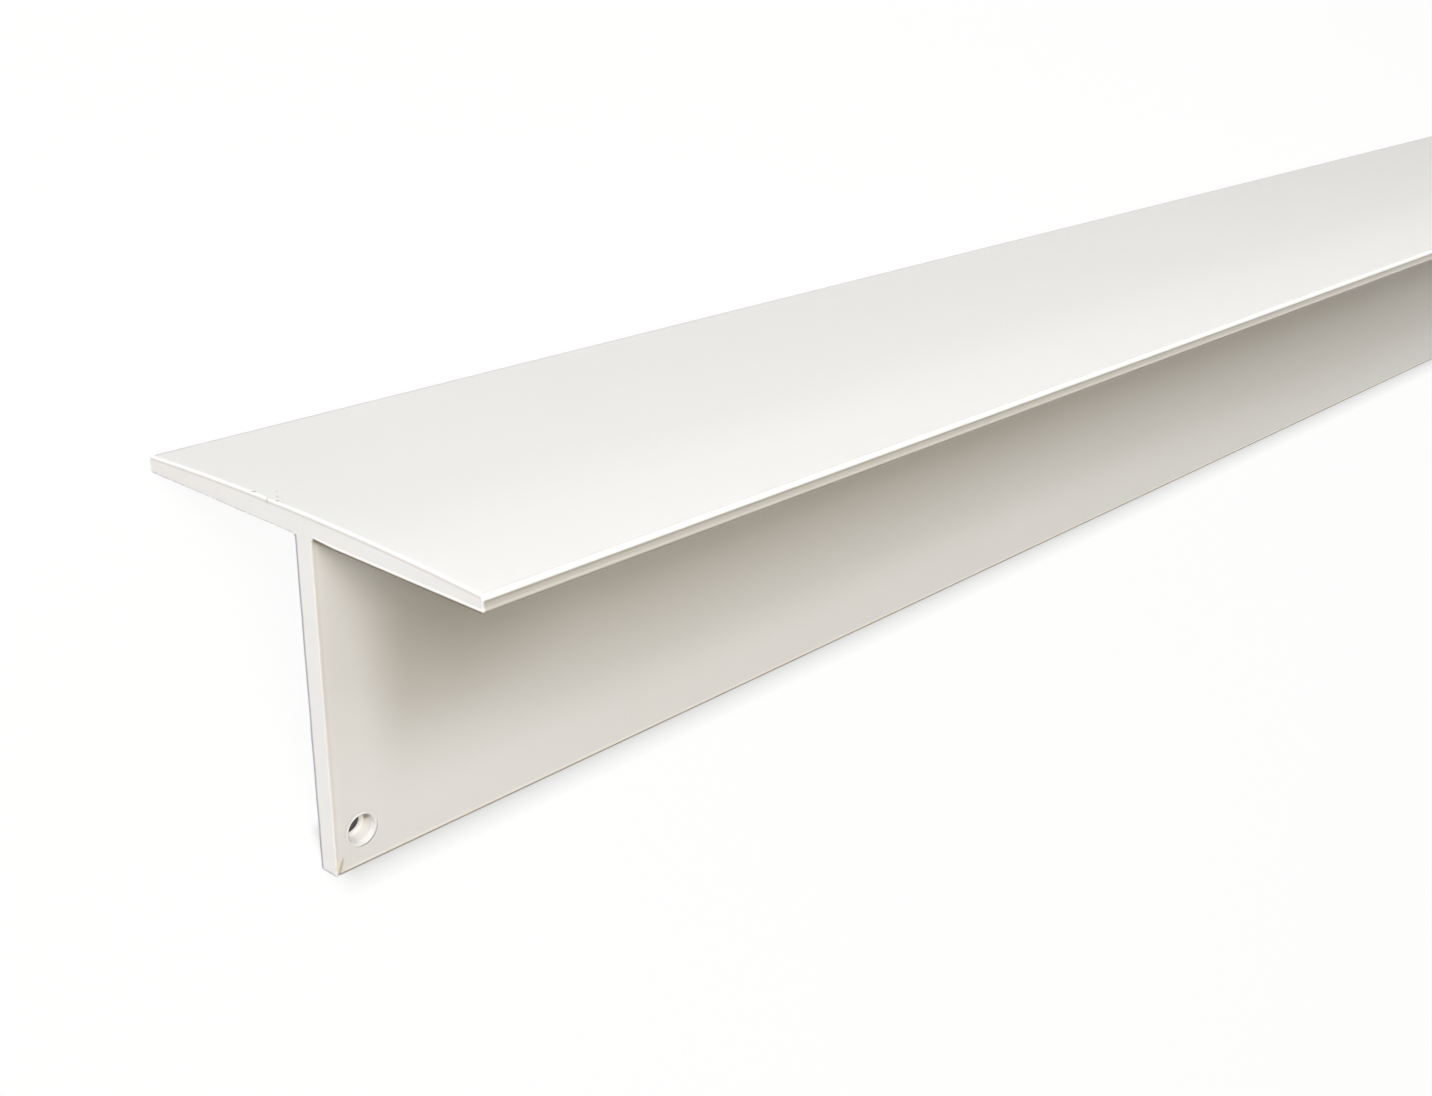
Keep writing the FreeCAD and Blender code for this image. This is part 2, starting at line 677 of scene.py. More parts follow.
def rise(values, low, high):
    """0 up to low and 1 from high, straight between."""
    return np.clip((values - low) / (high - low), 0, 1)


def dent_near_corner(mesh, bar):
    """The torn sliver of coat at the foot's near corner and the notches in the end's edge above it."""
    places = np.zeros(len(mesh.vertices) * 3)
    mesh.vertices.foreach_get("co", places)
    places = places.reshape(-1, 3)
    x, y, z = places.T / MM
    half_web = bar.web_thickness / 2 / MM
    on_face = rise(-y, half_web - FACE_DEPTH, half_web) * (x < CORNER_REACH_ALONG) * (z < CORNER_REACH_UP)
    beside = x - (SLIVER_START + SLIVER_SLANT * z)
    sliver = hump(beside, 0, SLIVER_WIDTH) * rise(z, *SLIVER_FOOT) * (1 - rise(z, *SLIVER_END))
    groove = hump(beside, GROOVE_BESIDE, GROOVE_WIDTH) * rise(z, *GROOVE_FOOT) * (1 - rise(z, *GROOVE_END))
    places[:, 1] -= MM * on_face * (SLIVER_HEIGHT * sliver - GROOVE_DEPTH * groove)
    notches = sum(depth * hump(z, height, width) for height, width, depth in EDGE_NOTCHES)
    notches = notches * on_face * (1 - rise(x, *NOTCH_REACH))
    places[:, 0] += MM * notches
    places[:, 1] += MM * NOTCH_SLANT * notches
    mesh.vertices.foreach_set("co", places.ravel())
    mesh.update()


# Flare of the hole's near rim
FLARE_STEPS = 6
FLARE_ANGLE = 75
FLARE_OVERRUN = 2 * MM

# Profile of the bead inside the far rim: how far in and how deep, in bead heights
FAR_BEAD = ((0, 3.2), (0.35, 2.6), (1, 1.6), (1, 1), (0.6, 0.3), (0, 0))

# How the hole opens past the web's far face: how far out and how deep, in millimetres
FAR_OPENING = ((0.2, 0.05), (0.4, 1))

FACES_ROUND_HOLE = 96


def hole_profile(bar):
    """Distance from the hole's axis and depth from the web's middle, from near to far."""
    radius = stated_mount(HOLE_MOUNT)["dims"]["r_mm"] * MM - bar.coat_in_hole
    half_web = bar.web_thickness / 2
    flare, bead = bar.rim_round, bar.far_rim_bead
    near = [(radius, half_web - flare)]
    for step in range(1, FLARE_STEPS + 1):
        angle = math.radians(FLARE_ANGLE * step / FLARE_STEPS)
        near.append((radius + flare * (1 - math.cos(angle)), half_web - flare * (1 - math.sin(angle))))
    distance, depth = near[-1]
    near.append((distance + FLARE_OVERRUN * math.sin(angle), depth + FLARE_OVERRUN * math.cos(angle)))
    profile = [(distance, -depth) for distance, depth in reversed(near)]
    profile += [(radius - bead * inward, half_web - bead * depth) for inward, depth in FAR_BEAD]
    profile += [(radius + out * MM, half_web + depth * MM) for out, depth in FAR_OPENING]
    return profile


def drill_object(bar):
    """The space of the hanging hole in the bar's own axes, with its rims shaped by the coat."""
    along, _, up, foot = section_axes()
    centre, _ = stated_place(HOLE_MOUNT)
    centre_x = (centre - foot).dot(along)
    centre_z = (centre - foot).dot(up)
    shape = bmesh.new()
    rings = []
    for distance, depth in hole_profile(bar):
        ring = []
        for turn in range(FACES_ROUND_HOLE):
            angle = 2 * math.pi * turn / FACES_ROUND_HOLE
            x = centre_x + distance * math.cos(angle)
            z = centre_z + distance * math.sin(angle)
            ring.append(shape.verts.new((x, depth, z)))
        rings.append(ring)
    for first, second in zip(rings, rings[1:]):
        for turn in range(FACES_ROUND_HOLE):
            after = (turn + 1) % FACES_ROUND_HOLE
            shape.faces.new((first[turn], first[after], second[after], second[turn]))
    shape.faces.new(rings[0])
    shape.faces.new(rings[-1])
    bmesh.ops.recalc_face_normals(shape, faces=shape.faces)
    mesh = bpy.data.meshes.new("hole_drill")
    shape.to_mesh(mesh)
    shape.free()
    for face in mesh.polygons:
        face.use_smooth = True
    return linked("hole_drill", mesh)


def drilled(mesh, bar):
    """The bar with its hole."""
    drill = drill_object(bar)
    blank = linked("tee_blank", mesh)
    cut = blank.modifiers.new("hole", "BOOLEAN")
    cut.operation = "DIFFERENCE"
    cut.solver = "EXACT"
    cut.object = drill
    even = blank.modifiers.new("even_shading", "WEIGHTED_NORMAL")
    even.mode = "FACE_AREA"
    even.weight = 80
    result = plain_mesh(blank, "tee_bar")
    remove(blank)
    remove(drill)
    return result


# Pits in the outer face beside the sawn end: millimetres along and across, size and depth
OUTER_FACE_PITS = [
    (0.24, 6.05, 0.17, 1.0),
    (0.10, 4.15, 0.16, 0.5),
    (0.20, 3.75, 0.13, 0.5),
    (0.25, 3.14, 0.14, 1.0),
    (1.36, 4.82, 0.13, 0.45),
    (0.75, 3.86, 0.13, 0.55),
    (0.24, 2.54, 0.12, 0.4),
]

# Colours on the coat: painted highlights on its beads and on lifted coat, painted shade along its edges
# and in the hole, and the grey of its pits
# Painted highlight: white on the beads round the sawn end, the near tip's band and the hole's rim
BEAD_HIGHLIGHT_WHITE = (0.95, 0.945, 0.93, 1)
# Painted highlight: cream on the foot's bead
FOOT_BEAD_HIGHLIGHT = (0.9, 0.87, 0.81, 1)
# Painted highlight: cream on the beads of the web's and the near tip's sawn edges
END_BEAD_HIGHLIGHT = (0.86, 0.83, 0.79, 1)
# The lifted coat beside the scrape, with a painted highlight on its lit side
LIFTED_COAT_HIGHLIGHT = (0.88, 0.82, 0.72, 1)
# Painted shade: a dark line along the foot's underside
FOOT_SHADE_LINE = (0.3, 0.255, 0.2, 1)
# Painted shade: a dark line under the lower edge of the sawn end's near half
LOWER_EDGE_SHADE_LINE = (0.16, 0.125, 0.095, 1)
# Painted shade: brown high on the hole's wall, which faces down
HOLE_WALL_SHADE = (0.3, 0.245, 0.17, 1)
PIT_GREY = (0.33, 0.33, 0.31, 1)
# Painted shade: grey lines along the far and lower edges of the sawn end
EDGE_SHADE_GREY = (0.31, 0.3, 0.36, 1)

# Tones of the coat, as shares of its colour. The clouds are the coat's own; painted shade and painted
# light are marked below
DARK_CLOUD = (0.975, 0.975, 0.965)
LIGHT_CLOUD = (1.01, 1.01, 1.01)
# Painted shade under the flange
RECESS_SHADE_TONE = (0.78, 0.765, 0.73)
# The sawn end darker and pinker towards its far tip
END_FAR_HALF_TONE = (0.92, 0.89, 0.88)
TIP_FACE_TONE = (0.74, 0.71, 0.66)
# Painted light: the top lighter towards the near tip
NEAR_TOP_LIGHT_TONE = (1.045, 1.035, 1.03)
# Painted shade: dims the upper edge of the near tip's highlight band
TIP_SHOULDER_SHADE_TONE = (0.92, 0.915, 0.91)
# Painted shade: dark lines along the top and bottom of the near tip's face
TIP_SHADE_LINE_TONE = (0.42, 0.37, 0.3)
# Painted shade: a darker line along the far tip, whose round turns from the light
FAR_TIP_SHADE_TONE = (0.82, 0.77, 0.76)
# Painted shade: a dark line in the crease below the bead on the sawn face
END_SHADE_LINE_TONE = (0.7, 0.65, 0.6)
# Painted shade in the valley behind the bead on the web's near face
VALLEY_SHADE_TONE = (0.94, 0.92, 0.9)
# The scrape, with painted shade in its groove
SCRAPE_SHADE_TONE = (0.5, 0.43, 0.33)

# Heights and depths of the marks in the coat's relief, in heights of its orange peel
GRAIN_HEIGHT = 0.12
PIT_DEPTH = 8.0
SCRAPE_DEPTH = 6.0
RING_HEIGHT = 45.0
DITCH_DEPTH = 10.0


class CoatPlaces:
    """Where a point of the coat lies, in millimetres, and the coat's mottled pattern there."""

    def __init__(self, plan, bar):
        foot = section_axes()[3]
        mapping = plan.node(
            "ShaderNodeMapping",
            {"vector_type": "TEXTURE"},
            {
                "Vector": plan.out(plan.node("ShaderNodeTexCoord"), "Object"),
                "Location": foot,
                "Rotation": bar_turn().to_euler(),
                "Scale": (MM, MM, MM),
            },
        )
        self.plan = plan
        self.point = plan.out(mapping)
        self.x, self.y, self.z = plan.parts(self.point)
        self.mottle = plan.noise(self.point, 1.6, detail=4.0, seed=5.0, roughness=0.7)

        self.half_flange = bar.flange_width / 2 / MM
        self.half_web = bar.web_thickness / 2 / MM
        crown_drop = bar.crown_drop / MM
        tip_top = (bar.section_height - bar.crown_drop) / MM
        crown = tip_top + crown_drop * (1 - (self.y / self.half_flange) ** 2.0)
        self.beside = abs(self.y)
        self.from_tip = self.half_flange - self.beside
        self.from_far_tip = self.half_flange - self.y
        self.past_near_face = self.y + self.half_web
        self.past_far_face = self.y - self.half_web
        self.over_underside = self.z - (bar.section_height - bar.flange_thickness) / MM
        self.over_tip = self.z - tip_top
        self.under_crown = crown - self.z

        self.at_end = plan.fade(self.x, 0.16, 0.26)
        self.near_face = plan.fade(self.past_near_face, 0.1, 0.3)
        self.near_side = plan.fade(self.past_near_face, -0.4, -0.1)

    def depth_in_section(self):
        """How deep a place of the sawn end lies inside the section's outline."""
        plan, overlap, root = self.plan, 0.3, 0.2
        in_flange = plan.least(
            self.under_crown,
            self.from_tip,
            self.over_underside + overlap,
            plan.most(self.over_underside, self.half_web + root - self.beside),
        )
        in_web = plan.least(self.half_web - self.beside, self.z, overlap - self.over_underside)
        return plan.most(in_flange, in_web)


def pit_marks(plan, at):
    """Pits in the outer face."""
    waver = (at.mottle - 0.5) * 0.1
    pits = []
    for along, across, size, depth in OUTER_FACE_PITS:
        away = plan.vector_maths("DISTANCE", plan.joined(at.x, at.y, 0.0), (along, across, 0.0))
        pits.append(plan.fade(away + waver, size * 0.45, size * 1.3) * depth)
    return plan.most(*pits) * plan.ramp(at.over_tip, 0.0, 0.2)


def end_marks(plan, at):
    """Painted highlights on the coat's beads round a sawn end, painted shade in the crease below the top
    bead and in the valley behind the beads, and a darker tone towards the far tip.
    """
    inside = at.depth_in_section()
    crest = plan.fade(at.x, 0.08, 0.16)
    # Painted highlight: white on the beads along the end's top edge and the lower edge of its near half
    top_bead = plan.fade(at.under_crown, 0.14, 0.2) * at.at_end
    low_bead = plan.band(at.over_underside, 0.2, 0.27, 0.36, 0.44) * at.at_end * at.near_side
    # Painted highlight: cream lines on the beads of the web's and the near tip's sawn edges
    web_bead = plan.fade(inside, 0.08, 0.14) * crest * plan.fade(at.over_underside, -0.2, 0.1)
    tip_bead = plan.fade(at.from_tip, 0.12, 0.2) * crest * at.near_side * plan.fade(at.over_tip, -0.5, -0.3)
    # Painted shade in the valley behind the bead on the web's near face
    behind_bead = plan.band(at.x, 0.14, 0.2, 0.28, 0.5) * plan.fade(at.over_underside, 0.0, 0.1)
    # Painted shade: a dark line in the crease below the bead on the sawn face
    end_line = plan.band(inside, 0.22, 0.28, 0.32, 0.46) * plan.fade(at.x, 0.08, 0.12)
    return {
        "white_bead_highlight": plan.most(top_bead, low_bead),
        "cream_bead_highlight": plan.most(web_bead, tip_bead),
        "behind_bead": behind_bead * at.near_face,
        "end_line": end_line * plan.ramp(at.over_underside, 1.0, 1.2) * 0.5,
        # The sawn end darker towards its far tip
        "end_far_half": plan.fade(at.from_far_tip, 0.0, at.half_flange * 0.7) * at.at_end * 0.6,
    }


def tip_marks(plan, at):
    """The flange's tips: the painted white highlight band and the greyer face of the near one, with painted
    shade in thin dark lines along that face and on the band's upper edge, the top lighter towards it as
    painted light, and painted shade along the far tip."""
    # Painted shade: dims the upper edge of the near tip's highlight band
    shoulder = plan.band(at.from_tip, 0.12, 0.22, 0.32, 0.42)
    face = plan.fade(at.from_tip, 0.2, 0.3) * plan.ramp(at.x, 0.1, 0.3) * plan.fade(at.over_tip, -0.5, -0.4)
    # Painted shade: dark lines along the top and bottom of the near tip's face
    lower_line = plan.fade(at.over_underside, 0.16, 0.3)
    upper_line = plan.ramp(at.over_tip, -0.66, -0.56) * 0.5
    return {
        # Painted highlight: the white band along the near tip's upper round
        "band": plan.fade(at.from_tip, 0.12, 0.22) * plan.ramp(at.over_tip, -0.46, -0.38) * at.near_side,
        "shoulder": shoulder * at.near_side,
        "face": face,
        "lines": plan.most(lower_line, upper_line) * face * 0.85,
        # Painted light: the top lighter towards the near tip
        "near_top": plan.fade(at.y, -15.0, -3.0) * plan.ramp(at.over_tip, -0.3, -0.1),
        # Painted shade: a darker line along the far tip, whose round turns from the light
        "far_tip": plan.fade(at.from_far_tip, 0.5, 0.8) * plan.ramp(at.x, 0.1, 0.4),
    }


def recess_shade_mark(plan, at):
    """Painted shade in the recess under the flange, darkest behind the sawn end, and low on the web from
    about 90 mm along.
    """
    middle_share, corner_share, far_share = 0.35, 0.65, 0.4
    middle = plan.ramp(at.z, 3.0, 9.0) * middle_share
    corner = plan.fade(at.x, 11.0, 26.0) * plan.ramp(at.z, 7.0, 14.0) * corner_share
    far = plan.ramp(at.x, 90.0, 190.0) * plan.ramp(at.z, 0.0, 5.0) * far_share
    below_flange = plan.fade(at.over_underside, -10.0, -1.0)
    return plan.clamped(middle + corner + far) * plan.ramp(at.x, 2.5, 8.0) * at.near_face * below_flange


def foot_marks(plan, at):
    """A painted shade line and a cream painted highlight on the bead along the foot, and the scrape that
    runs up from its near corner, with painted shade in its groove and a painted highlight on the coat
    pushed up beside it."""
    beside_scrape = at.x - (at.z * SLIVER_SLANT + 0.13)
    corner = plan.band(at.z, 0.1, 0.3, 1.1, 1.7) * at.near_face
    # Painted highlight: a cream line on the foot's bead
    bead = plan.band(at.z, 0.26, 0.36, 0.46, 0.56) * plan.ramp(at.x, 0.6, 1.0)
    return {
        # Painted shade: a dark line along the foot's underside, below its bead
        "painted_shade": at.near_face * plan.fade(at.z, 0.22, 0.34) * plan.ramp(at.x, 0.1, 0.3) * 0.85,
        "bead": at.near_face * bead,
        # The scrape, with painted shade in its groove
        "scrape": plan.fade(abs(beside_scrape), 0.05, 0.17) * corner,
        # The lifted coat beside the scrape, with a painted highlight on its lit side
        "lifted": plan.fade(beside_scrape, -0.16, -0.06) * corner * 0.6,
    }


def edge_marks(plan, at):
    """Painted shade in grey lines along the far and lower edges of the sawn end, broken up, and in a dark
    line under the flange's near half."""
    broken = plan.ramp(plan.noise(at.point, 1.6, detail=1.0, seed=21.0), 0.35, 0.6) * 0.6 + 0.4
    # Painted shade: grey lines along the far and lower edges of the sawn end, broken up
    far_edge = plan.ramp(at.past_far_face, -0.3, -0.2) * plan.fade(at.over_underside, 0.0, 0.1)
    far_low_edge = plan.fade(at.over_underside, 0.08, 0.2) * plan.ramp(at.past_far_face, 0.0, 0.3)
    foot_edge = plan.fade(at.z, 0.1, 0.22) * broken
    wedge = plan.fade(at.beside, at.half_web, at.half_web + 3.0) * 0.12
    # Painted shade: a dark line under the flange's near half at the sawn end
    near_low_edge = plan.fade(at.over_underside - wedge, 0.14, 0.22)
    return {
        "edge_shade": plan.clamped(far_edge + far_low_edge * broken * 0.7 + foot_edge) * at.at_end * 0.8,
        "painted_shade": near_low_edge * at.at_end * at.near_side,
    }


def hole_marks(plan, at):
    """The bead that the drill raised round the hole, painted as a white highlight fullest where the light
    catches it, a ditch outside it, painted highlights on the beads inside the hole and painted shade
    high on its wall."""
    along, _, up, foot = section_axes()
    hole, _ = stated_place(HOLE_MOUNT)
    hole_x, hole_z = (hole - foot).dot(along) / MM, (hole - foot).dot(up) / MM
    from_hole = plan.vector_maths("DISTANCE", plan.joined(at.x, 0.0, at.z), (hole_x, 0.0, hole_z))
    from_rim = from_hole + (at.mottle - 0.5) * 0.16
    upper_left = (at.z - hole_z - at.x + hole_x) / (from_hole * math.sqrt(2))
    caught = plan.ramp(abs(upper_left), 0.25, 0.75) * 0.8 + 0.2
    wall = plan.fade(from_hole, 1.2, 1.24)
    # Painted highlight: white on the beads inside the hole
    inner_bead = wall * plan.fade(at.y, -0.75, -0.35) * plan.fade(upper_left, -0.7, -0.3)
    far_bead = wall * plan.ramp(at.y, 0.35, 0.5)
    # Painted shade: brown high on the hole's wall
    high_on_wall = plan.ramp(at.z - hole_z + at.past_near_face * 0.7, 0.7, 1.0)
    return {
        # Painted highlight: white on the rim's bead, fullest where the light catches it
        "rim": plan.most(plan.band(from_rim, 1.18, 1.26, 1.38, 1.48) * caught, inner_bead, far_bead),
        "ring": plan.band(from_rim, 1.18, 1.3, 1.3, 1.46) * caught,
        "ditch": plan.band(from_rim, 1.42, 1.5, 1.5, 1.66),
        "wall_shade": wall * high_on_wall * plan.fade(at.y, 0.3, 0.45) * 0.75,
    }


def coat_material(look, bar):
    """White powder coat: satin, with a fine orange peel, faint clouds in its tone and the marks that
    sawing and handling left, and painted shade and painted highlights along its beads, edges, recess
    and hole."""
    material = bpy.data.materials.new("white_powder_coat")
    plan = fresh_plan(material)
    at = CoatPlaces(plan, bar)
    clouds = plan.noise(at.point, 0.045, detail=3.0, seed=2.0)
    peel = plan.noise(at.point, 1.1, detail=2.5, seed=9.0)
    grain = plan.noise(at.point, 9.0, seed=12.0)
    pits = pit_marks(plan, at)
    end, tip, foot = end_marks(plan, at), tip_marks(plan, at), foot_marks(plan, at)
    edge, hole = edge_marks(plan, at), hole_marks(plan, at)

    def toned(shares):
        return tuple(channel * share for channel, share in zip(look.colour, shares)) + (1,)

    cloudiness = plan.clamped((clouds - 0.5) * 1.2 + (at.mottle - 0.5) * 0.5 + 0.5)
    colour = plan.tint(cloudiness, toned(DARK_CLOUD), toned(LIGHT_CLOUD))
    for mark, mark_colour in (
        (recess_shade_mark(plan, at), toned(RECESS_SHADE_TONE)),
        (end["end_far_half"], toned(END_FAR_HALF_TONE)),
        (tip["face"], toned(TIP_FACE_TONE)),
        (tip["near_top"], toned(NEAR_TOP_LIGHT_TONE)),
        (tip["shoulder"], toned(TIP_SHOULDER_SHADE_TONE)),
        (tip["lines"], toned(TIP_SHADE_LINE_TONE)),
        (tip["far_tip"], toned(FAR_TIP_SHADE_TONE)),
        (end["end_line"], toned(END_SHADE_LINE_TONE)),
        (end["behind_bead"], toned(VALLEY_SHADE_TONE)),
        (plan.most(end["white_bead_highlight"], tip["band"], hole["rim"]), BEAD_HIGHLIGHT_WHITE),
        (foot["bead"], FOOT_BEAD_HIGHLIGHT),
        (end["cream_bead_highlight"], END_BEAD_HIGHLIGHT),
        (foot["painted_shade"], FOOT_SHADE_LINE),
        (foot["lifted"], LIFTED_COAT_HIGHLIGHT),
        (foot["scrape"] * 0.75, toned(SCRAPE_SHADE_TONE)),
        (edge["edge_shade"], EDGE_SHADE_GREY),
        (edge["painted_shade"], LOWER_EDGE_SHADE_LINE),
        (hole["wall_shade"], HOLE_WALL_SHADE),
        (pits * 0.8, PIT_GREY),
    ):
        colour = plan.tint(mark, colour, mark_colour)
    roughness = plan.clamped((at.mottle - 0.5) * 0.12 + (clouds - 0.5) * 0.1 + look.roughness)

    height = peel + grain * GRAIN_HEIGHT - pits * PIT_DEPTH - foot["scrape"] * SCRAPE_DEPTH
    height = height + hole["ring"] * RING_HEIGHT - hole["ditch"] * DITCH_DEPTH
    relief = plan.node("ShaderNodeBump", inputs={"Strength": 1.0, "Distance": look.peel, "Height": height})
    shader = plan.node(
        "ShaderNodeBsdfPrincipled",
        inputs={
            "Base Color": colour,
            "Roughness": roughness,
            "Normal": plan.out(relief),
            "Metallic": 0.0,
            "IOR": 1.36,
        },
    )
    plan.node("ShaderNodeOutputMaterial", inputs={"Surface": plan.out(shader)})
    return material


# The table: its half side, its colour in the light, and the colour of the shade right beside the bar
TABLE_REACH = 4.0
TABLE_COLOUR = (0.9, 0.89, 0.87, 1)
CONTACT_SHADE = (0.03, 0.028, 0.025, 1)

# Limits of that shade: how close a thing has to be, and where the shade starts and ends, seen from
# the web's foot at the near end
SHADE_REACH = 2.5 * MM
UNDER_BAR = (-0.5 * MM, 0.5 * MM)
UNDER_WEB = (3.2 * MM, 4.4 * MM)
BEHIND_END = (0.0, 3 * MM)
BESIDE_FOOT = (4 * MM, 8 * MM)
OPEN_SHADE_STRENGTH = 0.45
OPEN_SHADE_POWER = 1.5
UNDER_SHADE_POWER = 4.0

# How far from the bar the table turns wholly white
WHITE_TABLE = (0.3, 1.2)


def seen_directly(plan):
    """1 for what the camera, a gloss or a clear pane sees, and 0 for light on the object."""
    path = plan.node("ShaderNodeLightPath")
    rays = ("Is Camera Ray", "Is Glossy Ray", "Is Transmission Ray")
    return plan.most(*(plan.out(path, ray) for ray in rays))


def table_material(stage):
    """White table that shows about white whatever the light, darker right beside the bar and wholly
    white farther off, where it meets the white room."""
    material = bpy.data.materials.new("white_table")
    plan = fresh_plan(material)
    near = plan.node("ShaderNodeAmbientOcclusion", {"samples": 16}, {"Distance": SHADE_REACH})
    open_sky = plan.out(near, "AO")
    x, y, _ = plan.parts(plan.out(plan.node("ShaderNodeTexCoord"), "Object"))
    foot = section_axes()[3]
    past_foot = y - foot.y
    beside_foot = abs(past_foot)
    under_bar = plan.ramp(past_foot, *UNDER_BAR)
    open_shade = (1 - open_sky**OPEN_SHADE_POWER) * OPEN_SHADE_STRENGTH * (1 - under_bar)
    under_shade = (1 - open_sky**UNDER_SHADE_POWER) * under_bar * plan.fade(beside_foot, *UNDER_WEB)
    shaded = plan.clamped(open_shade + under_shade) * plan.ramp(x - foot.x, *BEHIND_END)
    shade = plan.tint(shaded * plan.fade(beside_foot, *BESIDE_FOOT), (1, 1, 1, 1), CONTACT_SHADE)
    glow = plan.node("ShaderNodeEmission", inputs={"Color": shade, "Strength": 1.0})
    from_bar = plan.most(abs(y), abs(x) - cad_high.x)
    white = plan.ramp(from_bar, *WHITE_TABLE) * (1 - stage.table_white) + stage.table_white
    matt = plan.node("ShaderNodeBsdfDiffuse", inputs={"Color": TABLE_COLOUR})
    mixed = plan.node(
        "ShaderNodeMixShader",
        inputs={0: seen_directly(plan) * white, 1: plan.out(matt), 2: plan.out(glow)},
    )
    plan.node("ShaderNodeOutputMaterial", inputs={"Surface": plan.out(mixed)})
    return material


def table(stage):
    mesh = bpy.data.meshes.new("white_table")
    corners = [(-1, -1), (1, -1), (1, 1), (-1, 1)]
    mesh.from_pydata([(x * TABLE_REACH, y * TABLE_REACH, 0) for x, y in corners], [], [(0, 1, 2, 3)])
    mesh.materials.append(table_material(stage))
    return linked("white_table", mesh)


ROOM_COLOUR = (1.0, 0.9, 0.75, 1)


def room(stage):
    """Even light from all round, white where it is seen."""
    world = bpy.data.worlds.new("white_room")
    plan = fresh_plan(world)
    light = plan.node("ShaderNodeBackground", inputs={"Color": ROOM_COLOUR, "Strength": stage.room_light})
    white = plan.node("ShaderNodeBackground", inputs={"Color": (1, 1, 1, 1), "Strength": 1.0})
    mixed = plan.node(
        "ShaderNodeMixShader", inputs={0: seen_directly(plan), 1: plan.out(light), 2: plan.out(white)}
    )
    plan.node("ShaderNodeOutputWorld", inputs={"Surface": plan.out(mixed)})
    bpy.context.scene.world = world


# Lamps: name, place along the bar that it faces, direction from there (along, across, up), distance,
# width, height, watts and colour
LAMPS = [
    ("corner_lamp", 0.06, (-0.5, -0.71, 0.5), 0.8, 0.5, 0.5, 3.85, (1.0, 0.965, 0.955)),
    ("low_lamp", 0.06, (-0.5, -0.81, 0.3), 0.8, 0.5, 0.4, 0.72, (1.0, 0.68, 0.0)),
    ("front_lamp", 0.06, (-0.28, -0.78, 0.56), 0.8, 0.5, 0.5, 0.76, (1.0, 0.98, 0.96)),
    ("end_lamp", 0.06, (-0.75, -0.1, 0.65), 0.8, 0.5, 0.5, 1.85, (0.69, 0.79, 1.0)),
    ("top_lamp", 0.06, (0.0, -0.05, 1.0), 0.8, 0.6, 0.6, 0.9, (1.0, 0.93, 0.72)),
    ("front_strip", 0.06, (0.0, -0.766, 0.643), 0.15, 0.5, 0.04, 0.16, (0.84, 0.92, 1.0)),
    ("far_top_lamp", 0.88, (0.3, -0.05, 1.0), 0.5, 0.4, 0.3, 1.0, (1.0, 0.98, 0.95)),
    ("far_front_lamp", 0.88, (0.3, -0.72, 0.5), 0.5, 0.4, 0.3, 0.55, (1.0, 0.98, 0.95)),
]


def lamps():
    """Large soft lamps round the near end of the bar, and two more for its far half."""
    along, across, up, foot = section_axes()
    middle_up_web = up * bpy.context.scene.tee_bar.section_height / 2
    for name, faces, direction, distance, width, height, watts, colour in LAMPS:
        lamp = bpy.data.lights.new(name, "AREA")
        lamp.shape = "RECTANGLE"
        lamp.size = width
        lamp.size_y = height
        lamp.energy = watts
        lamp.color = colour
        made = linked(name, lamp)
        made.visible_camera = False
        heading = (along * direction[0] + across * direction[1] + up * direction[2]).normalized()
        made.location = foot + along * faces + middle_up_web + heading * distance
        made.rotation_mode = "QUATERNION"
        made.rotation_quaternion = heading.to_track_quat("Z", "Y")


# Size of the picture and where its optical centre lies in it, in pixels
PICTURE_WIDTH = 1432
PICTURE_HEIGHT = 1096
OPTICAL_CENTRE_X = 859
OPTICAL_CENTRE_Y = 522

SENSOR_WIDTH = 36
NEAREST_SEEN = 0.01
FARTHEST_SEEN = 20


def camera(stage):
    """The view along the bar, held in the bar's own axes because the bar lies leaned over."""
    foot = section_axes()[3]
    azimuth, elevation, roll = stage.camera_azimuth, stage.camera_elevation, stage.camera_roll
    flat = math.cos(elevation)
    forward = Vector((flat * math.cos(azimuth), flat * math.sin(azimuth), -math.sin(elevation)))
    level = Vector((math.sin(azimuth), -math.cos(azimuth), 0))
    upright = level.cross(forward)
    right = math.cos(roll) * level + math.sin(roll) * upright
    top = math.cos(roll) * upright - math.sin(roll) * level
    axes = bar_turn()
    turn = axes @ Matrix((right, top, -forward)).transposed()
    lens = bpy.data.cameras.new("view")
    lens.sensor_width = SENSOR_WIDTH
    lens.lens = stage.focal_length
    lens.shift_x = (PICTURE_WIDTH / 2 - OPTICAL_CENTRE_X) / PICTURE_WIDTH
    lens.shift_y = (OPTICAL_CENTRE_Y - PICTURE_HEIGHT / 2) / PICTURE_WIDTH
    lens.clip_start = NEAREST_SEEN
    lens.clip_end = FARTHEST_SEEN
    made = linked("view", lens)
    made.matrix_world = Matrix.Translation(foot + axes @ Vector(stage.camera_place)) @ turn.to_4x4()
    bpy.context.scene.camera = made


def check_closed(mesh):
    """Stops the script if the bar is open or inside out."""
    shape = bmesh.new()
    shape.from_mesh(mesh)
    volume = shape.calc_volume(signed=True) / MM**3
    open_edges = sum(1 for edge in shape.edges if not edge.is_manifold)
    shape.free()
    print(f"tee_bar: {len(mesh.polygons)} faces, volume {volume:.0f} mm3, open edges {open_edges}")
    if volume <= 0 or open_edges:
        raise RuntimeError("the bar is inside out or open")


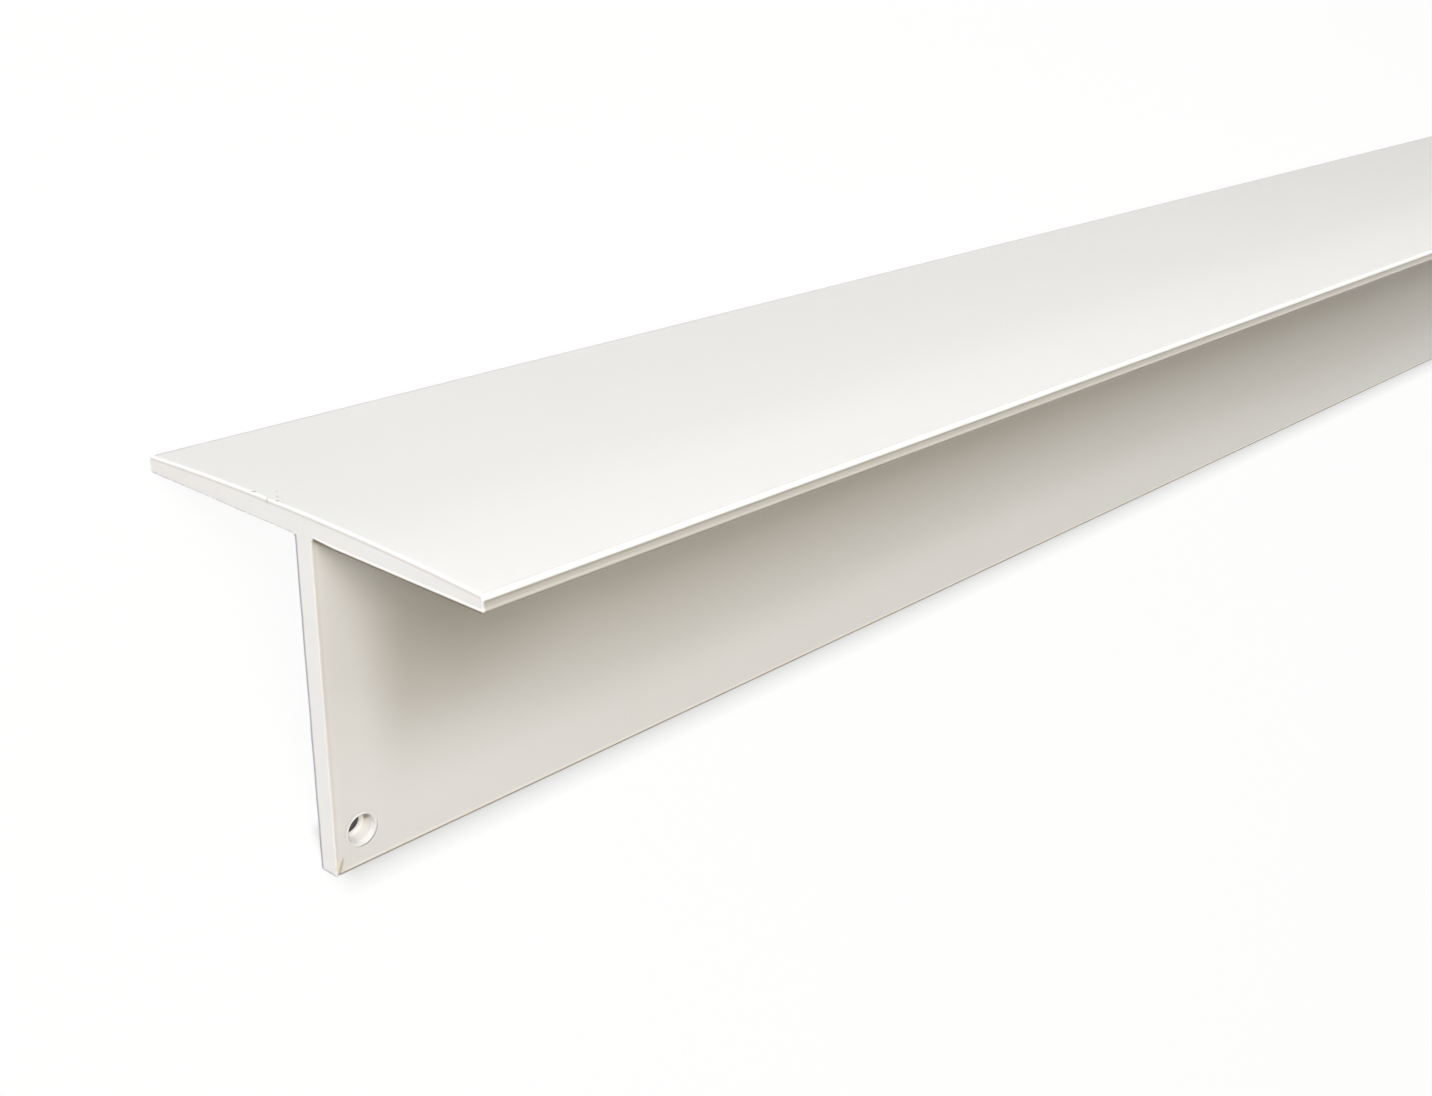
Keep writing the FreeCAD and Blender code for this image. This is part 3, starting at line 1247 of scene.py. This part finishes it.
class TEE_OT_bar(bpy.types.Operator):
    """Makes the coated bar with its rounds, sawn ends and hanging hole"""

    bl_idname = "tee.bar"
    bl_label = "Make the bar"

    def execute(self, context):
        bar, look = context.scene.tee_bar, context.scene.tee_coat
        mesh = swept_bar(bar, coat_material(look, bar))
        dent_near_corner(mesh, bar)
        mesh = drilled(mesh, bar)
        mesh.transform(Matrix.Translation(section_axes()[3]) @ bar_turn().to_4x4())
        check_closed(mesh)
        made = bpy.data.objects.new("tee_bar", mesh)
        context.scene.collection.objects.link(made)
        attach(made, "root")
        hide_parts(CAD_NODE)
        return {"FINISHED"}


class TEE_OT_stage(bpy.types.Operator):
    """Sets the table, the lamps, the room and the camera"""

    bl_idname = "tee.stage"
    bl_label = "Set the stage"

    def execute(self, context):
        stage = context.scene.tee_stage
        table(stage)
        room(stage)
        lamps()
        camera(stage)
        context.scene.view_settings.view_transform = "Standard"
        return {"FINISHED"}


class TEE_PT_panel(bpy.types.Panel):
    """Lists the bar and the stage"""

    bl_idname = "TEE_PT_panel"
    bl_label = "Tee section"
    bl_space_type = "VIEW_3D"
    bl_region_type = "UI"
    bl_category = "Tee section"

    def draw(self, context):
        for title, group, operator in (
            ("Bar", context.scene.tee_bar, TEE_OT_bar),
            ("Coat", context.scene.tee_coat, None),
            ("Stage", context.scene.tee_stage, TEE_OT_stage),
        ):
            box = self.layout.box()
            box.label(text=title)
            for name in group.bl_rna.properties.keys():
                if name not in ("rna_type", "name"):
                    box.prop(group, name)
            if operator is not None:
                box.operator(operator.bl_idname)


CLASSES = (TeeBarSizes, TeeCoatLook, TeeStageLook, TEE_OT_bar, TEE_OT_stage, TEE_PT_panel)


def register():
    for each in CLASSES:
        bpy.utils.register_class(each)
    bpy.types.Scene.tee_bar = PointerProperty(type=TeeBarSizes)
    bpy.types.Scene.tee_coat = PointerProperty(type=TeeCoatLook)
    bpy.types.Scene.tee_stage = PointerProperty(type=TeeStageLook)


def unregister():
    del bpy.types.Scene.tee_stage
    del bpy.types.Scene.tee_coat
    del bpy.types.Scene.tee_bar
    for each in reversed(CLASSES):
        bpy.utils.unregister_class(each)


def main():
    register()
    bpy.ops.tee.bar()
    bpy.ops.tee.stage()


if __name__ == "__main__":
    main()
